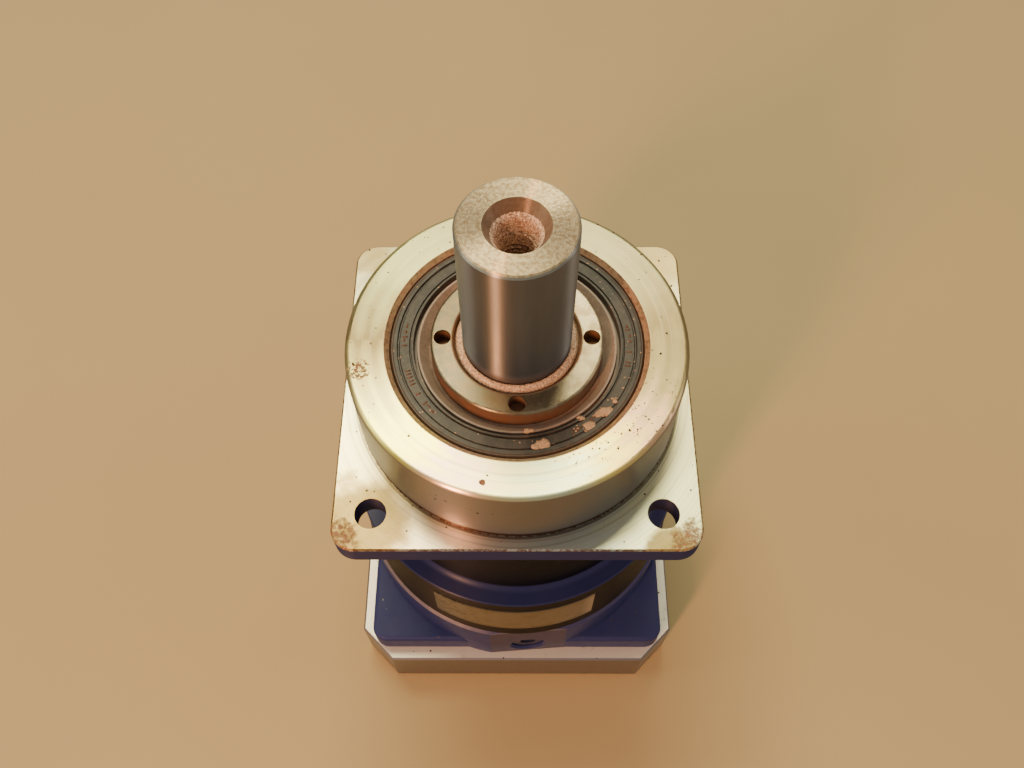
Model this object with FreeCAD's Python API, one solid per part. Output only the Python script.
"""Inline planetary gear reducer, ratio 5:1, with a square output flange and a round pilot.

Frame: the origin is on the shaft axis, in the plane of the output flange's mounting face.
+Z points out along the output shaft and -Y is the side of the nameplate and the access plug.
The motor side is at the bottom, so the reducer stands on its motor adapter. Millimetres.
"""
import FreeCAD
import Part
import math
import os

# ---------------------------------------------------------------- output side
SHAFT_R = 11.0            # output shaft, 22 mm
SHAFT_TOP = 56.0          # end of the shaft above the flange face
SHAFT_CHAMFER = 0.6
THREAD_R = 12.5           # thread that carries the lock nut
THREAD_TOP = 19.2
PILOT_R = 35.0            # round pilot that centres the reducer, 70 mm
PILOT_TOP = 19.0
PILOT_EDGE = 1.1          # rounded top edge of the pilot
PILOT_RELIEF = 0.5        # height of the groove at the pilot's foot
RELIEF_DEPTH = 0.15       # how far that groove cuts into the pilot
FLANGE_SIDE = 76.0
FLANGE_THICK = 6.0
FLANGE_CORNER_R = 5.0
FLANGE_HOLE_R = 3.3
FLANGE_PCD = 85.0
NUT_R = 17.5
NUT_TOP = 20.0
NUT_HOLE_R = 1.75
NUT_HOLE_CIRCLE_R = 15.1
SEAL_R = 26.0
SEAL_TOP = 18.3
SEAL_BOTTOM = 11.2

# ---------------------------------------------------------------- body
NECK_R = 35.5             # neck behind the flange
SHOULDER_Z = -33.0        # top of the wide barrel
BARREL_R = 40.0
BARREL_BOTTOM = -58.0
COLLAR_R = 40.6           # round top of the input housing
INPUT_SIDE = 77.0
INPUT_CORNER_R = 4.0
INPUT_SQUARE_TOP = -70.5
INPUT_BOTTOM = -77.5
ADAPTER_SIDE = 84.0
ADAPTER_CORNER = 8.3      # flat cut across each upright corner
ADAPTER_BOTTOM = -95.0
ACCESS_R = 4.3            # hole that a hex key goes through to the clamp
ACCESS_Z = -71.5
ACCESS_ANGLE = math.radians(-85.7)
ACCESS_FLAT = 39.4        # distance of the hole's flat from the axis

# ---------------------------------------------------------------- motor interface
MOTOR_PILOT_R = 35.0
MOTOR_PILOT_DEPTH = 4.5
MOTOR_PCD = 90.0
MOTOR_THREAD_R = 2.5      # core hole of an M6 thread
MOTOR_THREAD_DEPTH = 15.0
MOTOR_SHAFT_R = 9.5       # motor shaft, 19 mm

# ---------------------------------------------------------------- gears
MODULE = 0.8
PRESSURE_ANGLE = math.radians(20.0)
SUN_TEETH = 18
PLANET_TEETH = 27
RING_TEETH = 72
PLANETS = 3
BACKLASH = 0.16           # each gear's teeth are this much thinner at the pitch circle
DEDENDUM = 1.25           # in modules
RING_GEAR_R = 34.0
RING_GEAR_BOTTOM = -54.0

# ---------------------------------------------------------------- planet stage, along the axis
CARRIER_R = 27.4
CARRIER_TOP = -27.0
CARRIER_FACE = -33.5      # underside of the carrier's front disc
PLANET_PLATE_TOP = -50.5
PLANET_PLATE_BOTTOM = -55.0
WASHER_THICK = 0.8
SIDE_GAP = 0.1            # between planets and their thrust washers
PIN_R = 4.95
NEEDLE_R = 1.0
NEEDLE_CIRCLE_R = 6.0
NEEDLES = 18
PLANET_BORE_R = 7.05
POST_R = 6.0
POST_CIRCLE_R = 20.5

# ---------------------------------------------------------------- input hub
HUB_R = 15.0
HUB_TOP = -55.8
HUB_BOTTOM = -80.0
HUB_BORE_TOP = -60.0
INPUT_BEARING_TOP = -57.0
INPUT_BEARING_WIDTH = 7.0
INPUT_BEARING_R = 21.0
CLAMP_TOP = -67.5
CLAMP_BOTTOM = -75.5
CLAMP_R = 22.0
CAVITY_R = 24.0           # hollow of the input housing around the clamp ring

FIT = 0.02                # radial room between rolling parts
FIRST_PLANET = math.radians(90.0)
AXIS = FreeCAD.Vector(0, 0, 1)
ORIGIN = FreeCAD.Vector(0, 0, 0)


# ================================================================ shape helpers
def vec(x, y, z=0.0):
    return FreeCAD.Vector(x, y, z)


def polar(radius, angle, z=0.0):
    """Point at a radius and an angle in radians about the Z axis."""
    return vec(radius * math.cos(angle), radius * math.sin(angle), z)


def cylinder(radius, bottom, top, centre=ORIGIN):
    """Upright cylinder between two heights."""
    return Part.makeCylinder(radius, top - bottom, vec(centre.x, centre.y, bottom), AXIS)


def tube(inner, outer, bottom, top, centre=ORIGIN):
    return cylinder(outer, bottom, top, centre).cut(cylinder(inner, bottom - 1, top + 1, centre))


def revolve(outline):
    """Solid of revolution about Z from a closed list of (radius, z) corners."""
    points = [vec(radius, 0, z) for radius, z in outline]
    face = Part.Face(Part.makePolygon(points + points[:1]))
    return face.revolve(ORIGIN, AXIS, 360)


def radial_cylinder(radius, inner, outer, angle, z):
    """Cylinder that points away from the axis."""
    return Part.makeCylinder(radius, outer - inner, polar(inner, angle, z), polar(1, angle))


def square_block(side, corner_r, bottom, top):
    """Square plate with rounded upright edges."""
    half = side / 2
    block = Part.makeBox(side, side, top - bottom, vec(-half, -half, bottom))
    return block.makeFillet(corner_r, upright_edges(block))


def upright_edges(shape):
    return [edge for edge in shape.Edges if is_upright(edge)]


def is_upright(edge):
    first, last = edge.Vertexes[0].Point, edge.Vertexes[-1].Point
    return abs(first.x - last.x) < 1e-6 and abs(first.y - last.y) < 1e-6


def edges_at(shape, z, inside=0.0, outside=1e9):
    """Edges that lie flat at one height and whose points are within a range of radii."""
    found = []
    for edge in shape.Edges:
        points = edge.discretize(5)
        level = all(abs(point.z - z) < 1e-6 for point in points)
        if level and all(inside < math.hypot(point.x, point.y) < outside for point in points):
            found.append(edge)
    return found


def around(count, start=0.0):
    """Equally spaced angles round the axis."""
    return [start + 2 * math.pi * step / count for step in range(count)]


def cut_all(shape, tools):
    return shape.cut(Part.makeCompound(tools))


def socket_screw(thread_r, head_r, head_height, length, hex_r, seat, centre, up=True):
    """Socket head screw. Its head bears at the height seat, and its shank points up or down."""
    sign = 1 if up else -1
    low, high = sorted((seat, seat + sign * length))
    shank = cylinder(thread_r, low, high, centre)
    low, high = sorted((seat, seat - sign * head_height))
    head = cylinder(head_r, low, high, centre)
    head = head.makeChamfer(head_r * 0.1, edges_near(head, seat - sign * head_height))
    socket = hexagon(hex_r, head_height * 0.55)
    socket.translate(vec(centre.x, centre.y, low if up else high - head_height * 0.55))
    return shank.fuse(head).cut(socket).removeSplitter()


def edges_near(shape, z):
    return [edge for edge in shape.Edges if all(abs(p.z - z) < 1e-6 for p in edge.discretize(5))]


def hexagon(across_r, height):
    points = [polar(across_r, angle) for angle in around(6)]
    return Part.Face(Part.makePolygon(points + points[:1])).extrude(vec(0, 0, height))


def save(name, *solids):
    """Writes one sub-part. Several solids in one node are separate pieces of the same kind."""
    shape = solids[0] if len(solids) == 1 else Part.makeCompound(list(solids))
    shape.exportStep(f"parts/{name}.step")


# ================================================================ gear teeth
def involute(angle):
    return math.tan(angle) - angle


class Teeth:
    """Outline of one gear. An internal gear is the same outline cut out of a ring."""

    def __init__(self, count, thinning, addendum, dedendum):
        self.count = count
        self.pitch_r = MODULE * count / 2
        self.base_r = self.pitch_r * math.cos(PRESSURE_ANGLE)
        self.tip_r = self.pitch_r + addendum * MODULE
        self.root_r = self.pitch_r - dedendum * MODULE
        self.half_at_pitch = math.pi / (2 * count) - thinning / (2 * self.pitch_r)

    def half_angle(self, radius):
        """Half of a tooth's angular width at a radius."""
        if radius <= self.base_r:
            return self.half_at_pitch + involute(PRESSURE_ANGLE)
        pressure = math.acos(self.base_r / radius)
        return self.half_at_pitch + involute(PRESSURE_ANGLE) - involute(pressure)

    def flank(self, centre_angle, side, outward):
        """Edges of one flank between root and tip, radial below the base circle."""
        foot_r = max(self.root_r, self.base_r)
        radii = [foot_r, (foot_r + self.tip_r) / 2, self.tip_r]
        points = [polar(r, centre_angle + side * self.half_angle(r)) for r in radii]
        root = polar(self.root_r, centre_angle + side * self.half_angle(foot_r))
        edges = [Part.Arc(*points).toShape()]
        if foot_r > self.root_r:
            edges.insert(0, Part.LineSegment(root, points[0]).toShape())
        return edges if outward else edges[::-1]

    def arc(self, radius, start, end):
        middle = polar(radius, (start + end) / 2)
        return Part.Arc(polar(radius, start), middle, polar(radius, end)).toShape()

    def outline(self, phase):
        """Closed wire whose first tooth is centred on the angle phase."""
        foot_r = max(self.root_r, self.base_r)
        foot, tip = self.half_angle(foot_r), self.half_angle(self.tip_r)
        pitch = 2 * math.pi / self.count
        edges = []
        for angle in around(self.count, phase):
            edges += self.flank(angle, -1, True)
            edges.append(self.arc(self.tip_r, angle - tip, angle + tip))
            edges += self.flank(angle, 1, False)
            edges.append(self.arc(self.root_r, angle + foot, angle + pitch - foot))
        return Part.Wire(Part.__sortEdges__(edges))

    def solid(self, phase, bottom, top):
        face = Part.Face(self.outline(phase))
        face.translate(vec(0, 0, bottom))
        return face.extrude(vec(0, 0, top - bottom))


SUN = Teeth(SUN_TEETH, BACKLASH, 1.0, DEDENDUM)
PLANET = Teeth(PLANET_TEETH, BACKLASH, 1.0, DEDENDUM)
RING_SPACE = Teeth(RING_TEETH, -BACKLASH, DEDENDUM, 1.0)
CENTRE_DISTANCE = SUN.pitch_r + PLANET.pitch_r
PLANET_ANGLES = around(PLANETS, FIRST_PLANET)
CIRCULAR_PITCH = math.pi * MODULE


def planet_phase(angle):
    """Turn of a planet about its own axis that puts a tooth space on the sun's tooth."""
    along_sun = -angle * SUN.pitch_r + CIRCULAR_PITCH / 2
    return angle + math.pi - along_sun / PLANET.pitch_r


def ring_space_phase():
    """Turn of the ring gear that puts a tooth space on the first planet's tooth."""
    first = PLANET_ANGLES[0]
    return first + (planet_phase(first) - first) * PLANET.pitch_r / RING_SPACE.pitch_r


# ================================================================ tapered roller bearing
class TaperedBearing:
    """Tapered roller bearing whose cones share one apex on the axis."""

    def __init__(self, middle_z, direction, bore_r, outer_r, width, roller):
        self.middle_z = middle_z
        self.direction = direction          # +1 when the rollers' large ends face +Z
        self.bore_r = bore_r
        self.outer_r = outer_r
        self.width = width
        self.pitch_r, self.roller_r, self.roller_length, self.lean, self.rollers = roller
        self.apex = self.pitch_r / math.tan(self.lean)
        self.slant = self.pitch_r / math.sin(self.lean)
        self.half_taper = math.atan(self.roller_r / self.slant)

    def place(self, outline):
        """Revolves (radius, distance from the middle towards the large end) corners."""
        return revolve([(r, self.middle_z + self.direction * s) for r, s in outline])

    def cup_r(self, along):
        return (self.apex + along) * math.tan(self.lean + self.half_taper)

    def cone_r(self, along):
        return (self.apex + along) * math.tan(self.lean - self.half_taper)

    def cup(self):
        back, front = -self.width / 2, self.roller_length / 2 + 0.3
        return self.place([
            (self.cup_r(back), back),
            (self.outer_r - 0.6, back),
            (self.outer_r, back + 0.6),
            (self.outer_r, front - 0.4),
            (self.outer_r - 0.4, front),
            (self.cup_r(front), front),
        ])

    def cone(self):
        half = self.width / 2
        reach = self.roller_length / 2 * math.cos(self.lean)
        low_end, high_end = -reach - 0.6, reach + 1.1
        small_rib = self.cone_r(low_end) + 0.9
        large_rib = self.cone_r(high_end) + 1.7
        return self.place([
            (self.bore_r, -half + 0.5),
            (self.bore_r + 0.5, -half),
            (small_rib, -half),
            (small_rib, low_end),
            (self.cone_r(low_end), low_end),
            (self.cone_r(high_end), high_end),
            (large_rib, high_end),
            (large_rib, half),
            (self.bore_r + 0.5, half),
            (self.bore_r, half - 0.5),
        ])

    def roller(self, angle, grow=-FIT):
        """One roller, smaller than its space by FIT, or larger to cut a cage pocket."""
        half = self.roller_length / 2
        taper = math.tan(self.half_taper)
        small = (self.slant - half) * taper + grow
        large = (self.slant + half) * taper + grow
        lean = self.lean
        axis = vec(math.sin(lean) * math.cos(angle), math.sin(lean) * math.sin(angle),
                   self.direction * math.cos(lean))
        centre = polar(self.pitch_r, angle, self.middle_z)
        reach = half + max(grow, 0.0)
        return Part.makeCone(small, large, 2 * reach, centre - axis * reach, axis)

    def roller_set(self):
        return [self.roller(angle) for angle in around(self.rollers)]

    def cage(self):
        """Conical cage between the rollers, just outside their pitch surface."""
        half = self.roller_length / 2 + 1.0
        thick = 0.9
        slope = math.tan(self.lean)
        middle = self.pitch_r + 0.5
        shell = self.place([
            (middle - half * slope, -half),
            (middle - half * slope + thick, -half),
            (middle + half * slope + thick, half),
            (middle + half * slope, half),
        ])
        return cut_all(shell, [self.roller(angle, 0.12) for angle in around(self.rollers)])


FRONT_BEARING = TaperedBearing(3.0, 1, 14.0, 26.0, 16.0, (20.0, 3.1, 11.0, math.radians(12), 17))
REAR_BEARING = TaperedBearing(-18.0, -1, 17.5, 31.0, 18.0, (24.2, 3.6, 12.5, math.radians(13), 18))
SEAT_RIB_TOP = FRONT_BEARING.middle_z - FRONT_BEARING.width / 2
SEAT_RIB_BOTTOM = REAR_BEARING.middle_z + REAR_BEARING.width / 2
SEAT_RIB_R = 22.5


# ================================================================ fastener places
HOUSING_SCREW_CIRCLE_R = 37.0
HOUSING_SCREW_SEAT = -72.0
HOUSING_SCREW_LENGTH = 25.0
HOUSING_SCREW_ANGLES = around(8, math.radians(22.5))
ADAPTER_SCREW_CIRCLE_R = 29.5
ADAPTER_SCREW_SEAT = -85.0
ADAPTER_SCREW_LENGTH = 16.0
ADAPTER_SCREW_ANGLES = around(4, math.radians(45))
DOWEL_R = 2.0
DOWEL_TOP = -53.0
DOWEL_BOTTOM = -63.0
DOWEL_ANGLES = [0.0, math.pi]
RING_PIN_R = 1.5
RING_PIN_TOP = -46.0
RING_PIN_ANGLES = around(3, math.radians(30))
M4_R, M4_HEAD_R, M4_HEAD = 2.0, 3.4, 4.0
M5_R, M5_HEAD_R, M5_HEAD = 2.5, 4.2, 5.0


def places(circle_r, angles):
    return [polar(circle_r, angle) for angle in angles]


# ================================================================ housings
def gear_housing():
    """Flange, pilot, neck and barrel in one piece, with the seats of the seal, bearings and ring gear."""
    body = revolve([
        (SEAT_RIB_R, SEAT_RIB_TOP),
        (SEAL_R, SEAT_RIB_TOP),
        (SEAL_R, PILOT_TOP - 0.9),
        (SEAL_R + 0.9, PILOT_TOP),
        (PILOT_R, PILOT_TOP),
        (PILOT_R, -FLANGE_THICK / 2),
        (NECK_R, -FLANGE_THICK / 2),
        (NECK_R, SHOULDER_Z),
        (BARREL_R, SHOULDER_Z),
        (BARREL_R, BARREL_BOTTOM),
        (RING_GEAR_R, BARREL_BOTTOM),
        (RING_GEAR_R, SHOULDER_Z),
        (REAR_BEARING.outer_r, SHOULDER_Z),
        (REAR_BEARING.outer_r, SEAT_RIB_BOTTOM),
        (SEAT_RIB_R, SEAT_RIB_BOTTOM),
    ])
    body = body.makeFillet(PILOT_EDGE, edges_at(body, PILOT_TOP, PILOT_R - 0.1))
    body = body.makeFillet(1.5, edges_at(body, SHOULDER_Z, NECK_R - 0.1, NECK_R + 0.1))
    body = body.makeChamfer(0.3, edges_at(body, SHOULDER_Z, BARREL_R - 0.1))
    body = body.makeChamfer(0.4, edges_at(body, BARREL_BOTTOM, BARREL_R - 0.1))
    plate = square_block(FLANGE_SIDE, FLANGE_CORNER_R, -FLANGE_THICK, 0.0)
    plate = plate.makeChamfer(0.4, edges_near(plate, 0.0) + edges_near(plate, -FLANGE_THICK))
    plate = plate.cut(cylinder(PILOT_R - 1.0, -FLANGE_THICK - 1, 1.0))
    body = body.fuse(plate).removeSplitter()
    body = body.makeFillet(2.0, edges_at(body, -FLANGE_THICK, NECK_R - 0.1, NECK_R + 0.1))
    body = body.cut(tube(PILOT_R - RELIEF_DEPTH, PILOT_R + 0.12, -0.15, PILOT_RELIEF))
    holes = [cylinder(FLANGE_HOLE_R, -FLANGE_THICK - 1, 1.0, place)
             for place in places(FLANGE_PCD / 2, ADAPTER_SCREW_ANGLES)]
    holes += [cylinder(M4_R, BARREL_BOTTOM - 1, HOUSING_SCREW_SEAT + HOUSING_SCREW_LENGTH, place)
              for place in places(HOUSING_SCREW_CIRCLE_R, HOUSING_SCREW_ANGLES)]
    holes += [cylinder(DOWEL_R, BARREL_BOTTOM - 1, DOWEL_TOP, place)
              for place in places(HOUSING_SCREW_CIRCLE_R, DOWEL_ANGLES)]
    holes += [cylinder(RING_PIN_R, BARREL_BOTTOM - 1, RING_PIN_TOP, place)
              for place in places(RING_GEAR_R, RING_PIN_ANGLES)]
    return cut_all(body, holes)


def input_housing():
    """Round collar on a square foot, with a spigot into the barrel and the seat of the input bearing."""
    spigot_r, spigot_top, spigot_bore_r = RING_GEAR_R - 0.05, RING_GEAR_BOTTOM - 0.05, 28.6
    web_top = -56.0
    groove_r, groove_top, groove_bottom = 32.4, -55.2, -57.0
    lip_r = 19.0
    bearing_bottom = INPUT_BEARING_TOP - INPUT_BEARING_WIDTH
    circlip_r, circlip_bottom = 22.2, bearing_bottom - 1.3
    cavity_top = circlip_bottom - 0.6
    body = revolve([
        (lip_r, web_top),
        (spigot_bore_r, web_top),
        (spigot_bore_r, spigot_top),
        (spigot_r - 0.5, spigot_top),
        (spigot_r, spigot_top - 0.5),
        (spigot_r, groove_top),
        (groove_r, groove_top),
        (groove_r, groove_bottom),
        (spigot_r, groove_bottom),
        (spigot_r, BARREL_BOTTOM),
        (COLLAR_R, BARREL_BOTTOM),
        (COLLAR_R, INPUT_BOTTOM),
        (CAVITY_R, INPUT_BOTTOM),
        (CAVITY_R, cavity_top),
        (INPUT_BEARING_R, cavity_top),
        (INPUT_BEARING_R, circlip_bottom),
        (circlip_r, circlip_bottom),
        (circlip_r, bearing_bottom),
        (INPUT_BEARING_R, bearing_bottom),
        (INPUT_BEARING_R, INPUT_BEARING_TOP),
        (lip_r, INPUT_BEARING_TOP),
    ])
    body = body.makeChamfer(0.8, edges_at(body, BARREL_BOTTOM, COLLAR_R - 0.1))
    spot = Part.makeBox(COLLAR_R, 2 * COLLAR_R, 40, vec(ACCESS_FLAT, -COLLAR_R, INPUT_BOTTOM - 5))
    spot.rotate(ORIGIN, AXIS, math.degrees(ACCESS_ANGLE))
    body = body.cut(spot)
    foot = square_block(INPUT_SIDE, INPUT_CORNER_R, INPUT_BOTTOM, INPUT_SQUARE_TOP)
    foot = foot.makeFillet(1.2, edges_near(foot, INPUT_SQUARE_TOP))
    foot = foot.cut(cylinder(CAVITY_R, INPUT_BOTTOM - 1, INPUT_SQUARE_TOP + 1))
    body = body.fuse(foot).removeSplitter()
    countersink = 0.6
    cone_foot = polar(ACCESS_FLAT - countersink, ACCESS_ANGLE, ACCESS_Z)
    holes = [
        radial_cylinder(ACCESS_R, HUB_R, COLLAR_R, ACCESS_ANGLE, ACCESS_Z),
        Part.makeCone(ACCESS_R, ACCESS_R + countersink, countersink, cone_foot, polar(1, ACCESS_ANGLE)),
    ]
    for place in places(HOUSING_SCREW_CIRCLE_R, HOUSING_SCREW_ANGLES):
        holes.append(cylinder(M4_R + 0.25, INPUT_BOTTOM - 1, BARREL_BOTTOM + 1, place))
        holes.append(cylinder(M4_HEAD_R + 0.25, INPUT_BOTTOM - 1, HOUSING_SCREW_SEAT, place))
    for place in places(ADAPTER_SCREW_CIRCLE_R, ADAPTER_SCREW_ANGLES):
        holes.append(cylinder(M5_R, INPUT_BOTTOM - 1, ADAPTER_SCREW_SEAT + ADAPTER_SCREW_LENGTH, place))
    for place in places(HOUSING_SCREW_CIRCLE_R, DOWEL_ANGLES):
        holes.append(cylinder(DOWEL_R, DOWEL_BOTTOM, BARREL_BOTTOM + 1, place))
    return cut_all(body, holes)


def motor_adapter():
    """Square plate that carries the motor: pilot recess, threaded holes and a spigot into the housing."""
    half = ADAPTER_SIDE / 2
    block = Part.makeBox(ADAPTER_SIDE, ADAPTER_SIDE, INPUT_BOTTOM - ADAPTER_BOTTOM,
                         vec(-half, -half, ADAPTER_BOTTOM))
    block = block.makeChamfer(ADAPTER_CORNER, upright_edges(block))
    block = block.makeChamfer(0.5, edges_near(block, INPUT_BOTTOM) + edges_near(block, ADAPTER_BOTTOM))
    spigot_top, bore_r = INPUT_BOTTOM + 1.5, 19.0
    block = block.fuse(cylinder(CAVITY_R - 0.03, INPUT_BOTTOM - 1, spigot_top))
    recess_floor = ADAPTER_BOTTOM + MOTOR_PILOT_DEPTH
    holes = [
        cylinder(bore_r, ADAPTER_BOTTOM - 1, spigot_top + 1),
        cylinder(MOTOR_PILOT_R, ADAPTER_BOTTOM - 1, recess_floor),
    ]
    for place in places(ADAPTER_SCREW_CIRCLE_R, ADAPTER_SCREW_ANGLES):
        holes.append(cylinder(M5_R + 0.25, ADAPTER_BOTTOM, INPUT_BOTTOM + 1, place))
        holes.append(cylinder(M5_HEAD_R + 0.3, ADAPTER_BOTTOM, ADAPTER_SCREW_SEAT, place))
    for place in places(MOTOR_PCD / 2, ADAPTER_SCREW_ANGLES):
        holes.append(cylinder(MOTOR_THREAD_R, ADAPTER_BOTTOM - 1, ADAPTER_BOTTOM + MOTOR_THREAD_DEPTH, place))
        holes.append(Part.makeCone(MOTOR_THREAD_R + 1.0, MOTOR_THREAD_R, 1.0,
                                   vec(place.x, place.y, ADAPTER_BOTTOM), AXIS))
    return cut_all(block, holes).removeSplitter()


def save_housings():
    save("gear_housing", gear_housing())
    save("input_housing", input_housing())
    save("motor_adapter", motor_adapter())
    save("housing_screws", *[
        socket_screw(M4_R, M4_HEAD_R, M4_HEAD, HOUSING_SCREW_LENGTH, 1.7, HOUSING_SCREW_SEAT, place)
        for place in places(HOUSING_SCREW_CIRCLE_R, HOUSING_SCREW_ANGLES)])
    save("adapter_screws", *[
        socket_screw(M5_R, M5_HEAD_R, M5_HEAD, ADAPTER_SCREW_LENGTH, 2.3, ADAPTER_SCREW_SEAT, place)
        for place in places(ADAPTER_SCREW_CIRCLE_R, ADAPTER_SCREW_ANGLES)])
    save("dowel_pins", *[cylinder(DOWEL_R, DOWEL_BOTTOM, DOWEL_TOP, place)
                         for place in places(HOUSING_SCREW_CIRCLE_R, DOWEL_ANGLES)])
    save("housing_o_ring", Part.makeTorus(33.2, 0.78, vec(0, 0, -56.1), AXIS))


def access_plug():
    """Rubber plug in the hole that gives a hex key a way to the clamp's set screws."""
    outer = ACCESS_FLAT - 0.9
    middle = polar(outer, ACCESS_ANGLE, ACCESS_Z)
    stem = radial_cylinder(ACCESS_R, outer - 5.0, outer, ACCESS_ANGLE, ACCESS_Z)
    stem = stem.makeFillet(0.45, [e for e in stem.Edges if (e.CenterOfMass - middle).Length < 1e-6])
    return stem.cut(radial_cylinder(2.0, outer - 1.5, outer, ACCESS_ANGLE, ACCESS_Z))


def nameplate():
    """Thin curved plate on the front of the barrel."""
    middle, half_angle = math.radians(-91.0), math.radians(28.3)
    low, high, thick = -51.3, -37.3, 0.3
    ring = tube(BARREL_R, BARREL_R + thick, low, high)
    wedge = Part.Face(Part.makePolygon([
        vec(0, 0, low),
        polar(2 * BARREL_R, middle - half_angle, low),
        polar(2 * BARREL_R, middle + half_angle, low),
        vec(0, 0, low),
    ])).extrude(vec(0, 0, high - low))
    return ring.common(wedge)


# ================================================================ seal
def output_seal():
    """Shaft seal with a stepped front face, a main lip on the nut and a dust lip before it."""
    lip_r = NUT_R + 0.05
    return revolve([
        (SEAL_R, SEAL_BOTTOM),
        (SEAL_R, SEAL_TOP - 0.7),
        (SEAL_R - 0.5, SEAL_TOP - 0.1),
        (25.3, SEAL_TOP - 0.1),
        (25.1, SEAL_TOP),
        (24.4, SEAL_TOP),
        (24.25, SEAL_TOP - 0.5),
        (24.0, SEAL_TOP - 0.5),
        (23.8, SEAL_TOP - 0.25),
        (21.95, SEAL_TOP - 0.25),
        (21.8, SEAL_TOP - 0.6),
        (21.65, SEAL_TOP - 0.6),
        (21.5, SEAL_TOP - 0.1),
        (21.1, SEAL_TOP - 0.1),
        (20.95, SEAL_TOP - 1.8),
        (20.5, SEAL_TOP - 1.8),
        (20.3, SEAL_TOP - 0.7),
        (19.9, SEAL_TOP - 0.7),
        (lip_r + 0.5, SEAL_TOP - 2.6),
        (lip_r, SEAL_TOP - 2.8),
        (lip_r + 0.2, SEAL_TOP - 3.4),
        (19.0, SEAL_TOP - 3.9),
        (lip_r + 0.3, SEAL_TOP - 4.4),
        (lip_r, SEAL_TOP - 5.0),
        (lip_r + 0.9, SEAL_TOP - 5.9),
        (19.6, SEAL_TOP - 5.9),
        (20.6, SEAL_TOP - 3.2),
        (24.3, SEAL_TOP - 3.2),
        (24.3, SEAL_BOTTOM),
    ])


def save_seal():
    save("output_seal", output_seal())
    save("seal_garter_spring", Part.makeTorus(20.05 + 0.45, 0.45, vec(0, 0, SEAL_TOP - 5.2), AXIS))


# ================================================================ output shaft and carrier
def output_shaft():
    """Shaft with its threaded end hole, bearing seats, carrier disc and the three posts of the carrier."""
    seat_step = (SEAT_RIB_TOP + SEAT_RIB_BOTTOM) / 2
    relief_r = 10.7
    body = revolve([
        (0.0, CARRIER_FACE),
        (CARRIER_R - 0.5, CARRIER_FACE),
        (CARRIER_R, CARRIER_FACE + 0.5),
        (CARRIER_R, CARRIER_TOP - 1.5),
        (CARRIER_R - 3.0, CARRIER_TOP),
        (REAR_BEARING.bore_r, CARRIER_TOP),
        (REAR_BEARING.bore_r, seat_step),
        (FRONT_BEARING.bore_r, seat_step),
        (FRONT_BEARING.bore_r, SEAT_RIB_TOP + FRONT_BEARING.width),
        (THREAD_R, SEAT_RIB_TOP + FRONT_BEARING.width),
        (THREAD_R, THREAD_TOP - 0.3),
        (THREAD_R - 0.3, THREAD_TOP),
        (relief_r, THREAD_TOP),
        (relief_r, THREAD_TOP + 1.2),
        (SHAFT_R, THREAD_TOP + 1.5),
        (SHAFT_R, SHAFT_TOP - SHAFT_CHAMFER),
        (SHAFT_R - SHAFT_CHAMFER, SHAFT_TOP),
        (0.0, SHAFT_TOP),
    ])
    posts = [cylinder(POST_R, PLANET_PLATE_TOP, CARRIER_FACE + 1, place) for place in post_places()]
    body = body.fuse(posts[0].multiFuse(posts[1:])).removeSplitter()
    holes = [centre_hole()]
    holes += [cylinder(PIN_R, CARRIER_FACE - 1, CARRIER_TOP - 1.5, place) for place in pin_places()]
    holes += [cylinder(M4_R, PLANET_PLATE_TOP - 1, PLANET_PLATE_TOP + 8, place) for place in post_places()]
    return cut_all(body, holes)


def centre_hole():
    """M8 centre hole of the shaft's end: protecting cone, counterbore and thread core."""
    mouth_r, bore_r, core_r = 6.1, 4.2, 3.4
    cone_end, bore_end = SHAFT_TOP - 3.3, SHAFT_TOP - 5.5
    core_end = SHAFT_TOP - 24.0
    return revolve([
        (0.0, SHAFT_TOP + 1),
        (mouth_r, SHAFT_TOP + 1),
        (mouth_r, SHAFT_TOP),
        (bore_r, cone_end),
        (bore_r, bore_end),
        (core_r, bore_end - 0.8),
        (core_r, core_end),
        (0.0, core_end - 2.0),
    ])


def pin_places():
    return places(CENTRE_DISTANCE, PLANET_ANGLES)


def post_places():
    return places(POST_CIRCLE_R, [angle + math.pi / PLANETS for angle in PLANET_ANGLES])


def carrier_plate():
    """Rear plate of the carrier, screwed to the posts and holding the planet pins."""
    plate = tube(8.9, CARRIER_R - 0.1, PLANET_PLATE_BOTTOM, PLANET_PLATE_TOP)
    rims = edges_at(plate, PLANET_PLATE_TOP, CARRIER_R - 0.2)
    rims += edges_at(plate, PLANET_PLATE_BOTTOM, CARRIER_R - 0.2)
    plate = plate.makeChamfer(0.4, rims)
    holes = [cylinder(PIN_R, PLANET_PLATE_BOTTOM - 1, PLANET_PLATE_TOP + 1, place) for place in pin_places()]
    for place in post_places():
        holes.append(cylinder(M4_R + 0.2, PLANET_PLATE_BOTTOM - 1, PLANET_PLATE_TOP + 1, place))
        holes.append(Part.makeCone(4.3, M4_R + 0.2, 2.1, vec(place.x, place.y, PLANET_PLATE_BOTTOM), AXIS))
    return cut_all(plate, holes)


def carrier_screw(place):
    """Countersunk screw through the carrier plate into a post."""
    head = Part.makeCone(4.1, M4_R, 2.1, vec(place.x, place.y, PLANET_PLATE_BOTTOM), AXIS)
    shank = cylinder(M4_R, PLANET_PLATE_BOTTOM + 2.1, PLANET_PLATE_TOP + 7, place)
    socket = hexagon(1.5, 1.2)
    socket.translate(vec(place.x, place.y, PLANET_PLATE_BOTTOM))
    return head.fuse(shank).removeSplitter().cut(socket)


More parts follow.
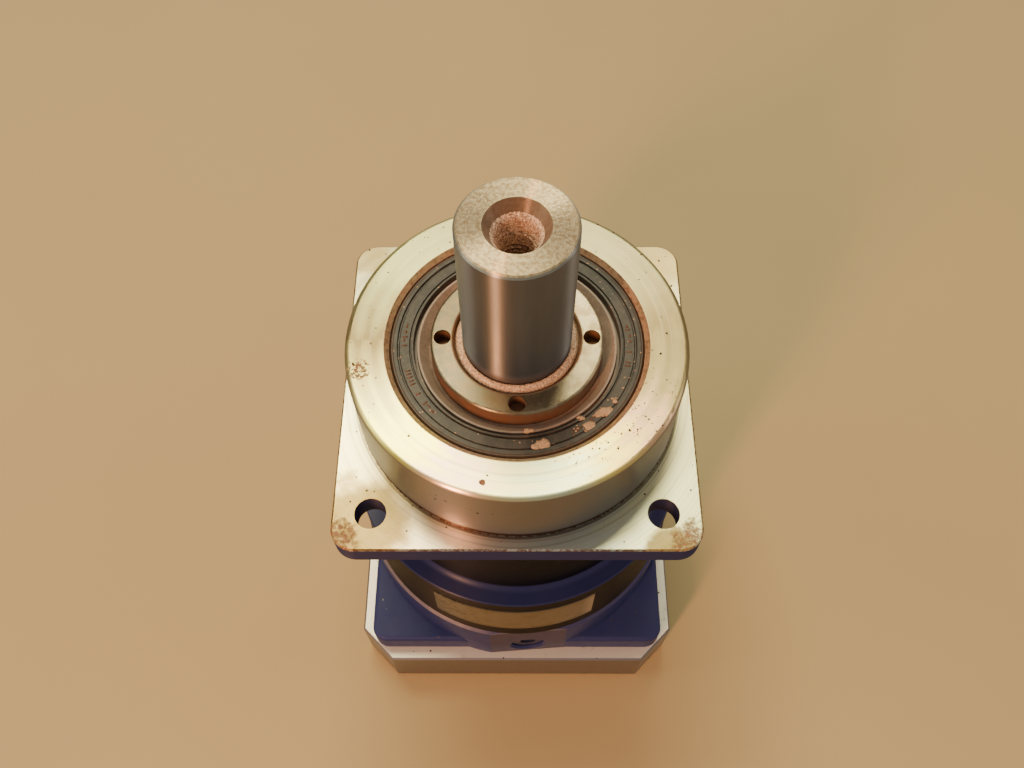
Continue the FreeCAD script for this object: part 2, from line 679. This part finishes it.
def lock_nut():
    """Round nut that preloads the bearings. The seal runs on it, and a pin spanner turns it."""
    bottom = SEAT_RIB_TOP + FRONT_BEARING.width
    edge = 0.6
    nut = revolve([
        (THREAD_R, bottom),
        (NUT_R - 0.4, bottom),
        (NUT_R, bottom + 0.4),
        (NUT_R, NUT_TOP),
        (THREAD_R + 0.6, NUT_TOP),
        (THREAD_R + 0.35, NUT_TOP - 0.3),
        (THREAD_R + 0.35, THREAD_TOP - 0.4),
        (THREAD_R, THREAD_TOP - 0.6),
    ])
    nut = nut.makeFillet(edge, edges_at(nut, NUT_TOP, NUT_R - 0.1))
    holes = [cylinder(NUT_HOLE_R, NUT_TOP - 3, NUT_TOP + 1, place)
             for place in places(NUT_HOLE_CIRCLE_R, around(4))]
    return cut_all(nut, holes)


def save_output():
    save("output_shaft", output_shaft())
    save("carrier_plate", carrier_plate())
    save("carrier_screws", *[carrier_screw(place) for place in post_places()])
    save("planet_pins", *[cylinder(PIN_R, PLANET_PLATE_BOTTOM, CARRIER_TOP - 1.5, place)
                          for place in pin_places()])
    washers = []
    for place in pin_places():
        washers.append(tube(PIN_R + 0.05, 10.0, CARRIER_FACE - WASHER_THICK, CARRIER_FACE, place))
        washers.append(tube(PIN_R + 0.05, 10.0, PLANET_PLATE_TOP, PLANET_PLATE_TOP + WASHER_THICK, place))
    save("planet_thrust_washers", *washers)
    save("lock_nut", lock_nut())


# ================================================================ gears
def planet_span():
    """Bottom and top of the planet gears between their washers."""
    return PLANET_PLATE_TOP + WASHER_THICK + SIDE_GAP, CARRIER_FACE - WASHER_THICK - SIDE_GAP


def planet_gear(angle):
    bottom, top = planet_span()
    gear = PLANET.solid(planet_phase(angle), bottom, top)
    gear = gear.cut(cylinder(PLANET_BORE_R, bottom - 1, top + 1))
    gear.translate(polar(CENTRE_DISTANCE, angle))
    return gear


def planet_needles(angle):
    """Full set of needle rollers between a planet and its pin."""
    bottom, top = planet_span()
    centre = polar(CENTRE_DISTANCE, angle)
    return [cylinder(NEEDLE_R, bottom + 0.4, top - 0.4, centre + polar(NEEDLE_CIRCLE_R, turn))
            for turn in around(NEEDLES)]


def ring_gear():
    """Toothed ring pressed into the barrel and kept from turning by pins at its edge."""
    ring = cylinder(RING_GEAR_R, RING_GEAR_BOTTOM, SHOULDER_Z)
    ring = ring.cut(RING_SPACE.solid(ring_space_phase(), RING_GEAR_BOTTOM - 1, SHOULDER_Z + 1))
    pins = [cylinder(RING_PIN_R, RING_GEAR_BOTTOM - 1, RING_PIN_TOP, place)
            for place in places(RING_GEAR_R, RING_PIN_ANGLES)]
    return cut_all(ring, pins)


def save_gears():
    save("ring_gear", ring_gear())
    save("ring_gear_pins", *[cylinder(RING_PIN_R, RING_GEAR_BOTTOM, RING_PIN_TOP, place)
                             for place in places(RING_GEAR_R, RING_PIN_ANGLES)])
    for number, angle in enumerate(PLANET_ANGLES, start=1):
        save(f"planet_gear_{number}", planet_gear(angle))
        save(f"planet_needles_{number}", *planet_needles(angle))


# ================================================================ input hub
def sun_shaft():
    """Sun gear and slotted clamp hub in one piece."""
    teeth = SUN.solid(0.0, PLANET_PLATE_TOP - 0.5, CARRIER_FACE - 0.5)
    shoulder_r = 16.6
    hub = revolve([
        (0.0, PLANET_PLATE_TOP - 0.5),
        (SUN.root_r - 0.2, PLANET_PLATE_TOP - 0.5),
        (SUN.root_r - 0.2, HUB_TOP),
        (shoulder_r, HUB_TOP),
        (shoulder_r, INPUT_BEARING_TOP),
        (HUB_R, INPUT_BEARING_TOP),
        (HUB_R, HUB_BOTTOM + 0.5),
        (HUB_R - 0.5, HUB_BOTTOM),
        (MOTOR_SHAFT_R + 0.5, HUB_BOTTOM),
        (MOTOR_SHAFT_R, HUB_BOTTOM + 0.5),
        (MOTOR_SHAFT_R, HUB_BORE_TOP),
        (0.0, HUB_BORE_TOP),
    ])
    slits = []
    for angle in around(4, math.radians(45)):
        slit = Part.makeBox(HUB_R, 1.2, CLAMP_TOP - HUB_BOTTOM + 1, vec(5, -0.6, HUB_BOTTOM - 1))
        slit.rotate(ORIGIN, AXIS, math.degrees(angle))
        slits.append(slit)
    groove = tube(HUB_R - 0.7, HUB_R + 1, circlip_bottom(), circlip_bottom() + CIRCLIP_THICK)
    return cut_all(teeth.fuse(hub).removeSplitter(), slits + [groove])


CIRCLIP_THICK = 1.1
SET_SCREW_R = 2.5
SET_SCREW_ANGLES = [ACCESS_ANGLE, ACCESS_ANGLE + math.pi / 2]


def circlip_bottom():
    return INPUT_BEARING_TOP - INPUT_BEARING_WIDTH - CIRCLIP_THICK - 0.05


def open_ring(inner, outer, gap_angle):
    """Retaining ring with a gap at the front."""
    ring = tube(inner, outer, circlip_bottom(), circlip_bottom() + CIRCLIP_THICK)
    reach = 2 * outer
    wedge = Part.Face(Part.makePolygon([
        vec(0, 0, circlip_bottom() - 1),
        vec(-reach * math.sin(gap_angle), -reach * math.cos(gap_angle), circlip_bottom() - 1),
        vec(reach * math.sin(gap_angle), -reach * math.cos(gap_angle), circlip_bottom() - 1),
        vec(0, 0, circlip_bottom() - 1),
    ])).extrude(vec(0, 0, CIRCLIP_THICK + 2))
    return ring.cut(wedge)


def clamp_ring():
    ring = tube(HUB_R, CLAMP_R, CLAMP_BOTTOM, CLAMP_TOP)
    rims = edges_at(ring, CLAMP_TOP, CLAMP_R - 0.1) + edges_at(ring, CLAMP_BOTTOM, CLAMP_R - 0.1)
    ring = ring.makeChamfer(0.6, rims)
    middle = (CLAMP_TOP + CLAMP_BOTTOM) / 2
    return cut_all(ring, [radial_cylinder(SET_SCREW_R, HUB_R - 1, CLAMP_R + 1, angle, middle)
                          for angle in SET_SCREW_ANGLES])


def set_screw(angle):
    middle = (CLAMP_TOP + CLAMP_BOTTOM) / 2
    screw = radial_cylinder(SET_SCREW_R, HUB_R, CLAMP_R - 1, angle, middle)
    socket = hexagon(1.45, 3.0)
    socket.rotate(ORIGIN, vec(0, 1, 0), 90)
    socket.rotate(ORIGIN, AXIS, math.degrees(angle))
    socket.translate(polar(CLAMP_R - 4, angle, middle))
    return screw.cut(socket)


def save_input():
    save("sun_shaft", sun_shaft())
    save("clamp_ring", clamp_ring())
    save("clamp_set_screws", *[set_screw(angle) for angle in SET_SCREW_ANGLES])
    save("hub_circlip", open_ring(HUB_R - 0.7, HUB_R + 1.6, math.radians(14)))
    save("housing_circlip", open_ring(INPUT_BEARING_R - 1.9, INPUT_BEARING_R + 1.15, math.radians(12)))


# ================================================================ input ball bearing
BALL_R = 1.95
BALL_CIRCLE_R = 18.0
BALLS = 15


def save_input_bearing():
    bottom, top = INPUT_BEARING_TOP - INPUT_BEARING_WIDTH, INPUT_BEARING_TOP
    middle = (bottom + top) / 2
    groove = Part.makeTorus(BALL_CIRCLE_R, BALL_R + FIT, vec(0, 0, middle), AXIS)
    land = 1.15
    outer = tube(BALL_CIRCLE_R + land, INPUT_BEARING_R, bottom, top).cut(groove)
    inner = tube(HUB_R, BALL_CIRCLE_R - land, bottom, top).cut(groove)
    save("input_bearing_outer_ring", outer)
    save("input_bearing_inner_ring", inner)
    balls = [Part.makeSphere(BALL_R, polar(BALL_CIRCLE_R, angle, middle)) for angle in around(BALLS)]
    save("input_bearing_balls", *balls)
    pockets = [Part.makeSphere(BALL_R + 0.1, polar(BALL_CIRCLE_R, angle, middle)) for angle in around(BALLS)]
    cage = tube(BALL_CIRCLE_R - 0.55, BALL_CIRCLE_R + 0.55, middle - 2.3, middle + 1.0)
    save("input_bearing_cage", cut_all(cage, pockets))
    shield_thick = 0.5
    save("input_bearing_shields", *[
        tube(BALL_CIRCLE_R - land + 0.1, BALL_CIRCLE_R + land, z, z + shield_thick)
        for z in (bottom + 0.1, top - 0.1 - shield_thick)])


def save_output_bearings():
    for name, bearing in (("front", FRONT_BEARING), ("rear", REAR_BEARING)):
        save(f"{name}_bearing_cup", bearing.cup())
        save(f"{name}_bearing_cone", bearing.cone())
        save(f"{name}_bearing_rollers", *bearing.roller_set())
        save(f"{name}_bearing_cage", bearing.cage())


def main():
    os.makedirs("parts", exist_ok=True)
    save_housings()
    save("access_plug", access_plug())
    save("nameplate", nameplate())
    save_seal()
    save_output()
    save_gears()
    save_input()
    save_input_bearing()
    save_output_bearings()


main()
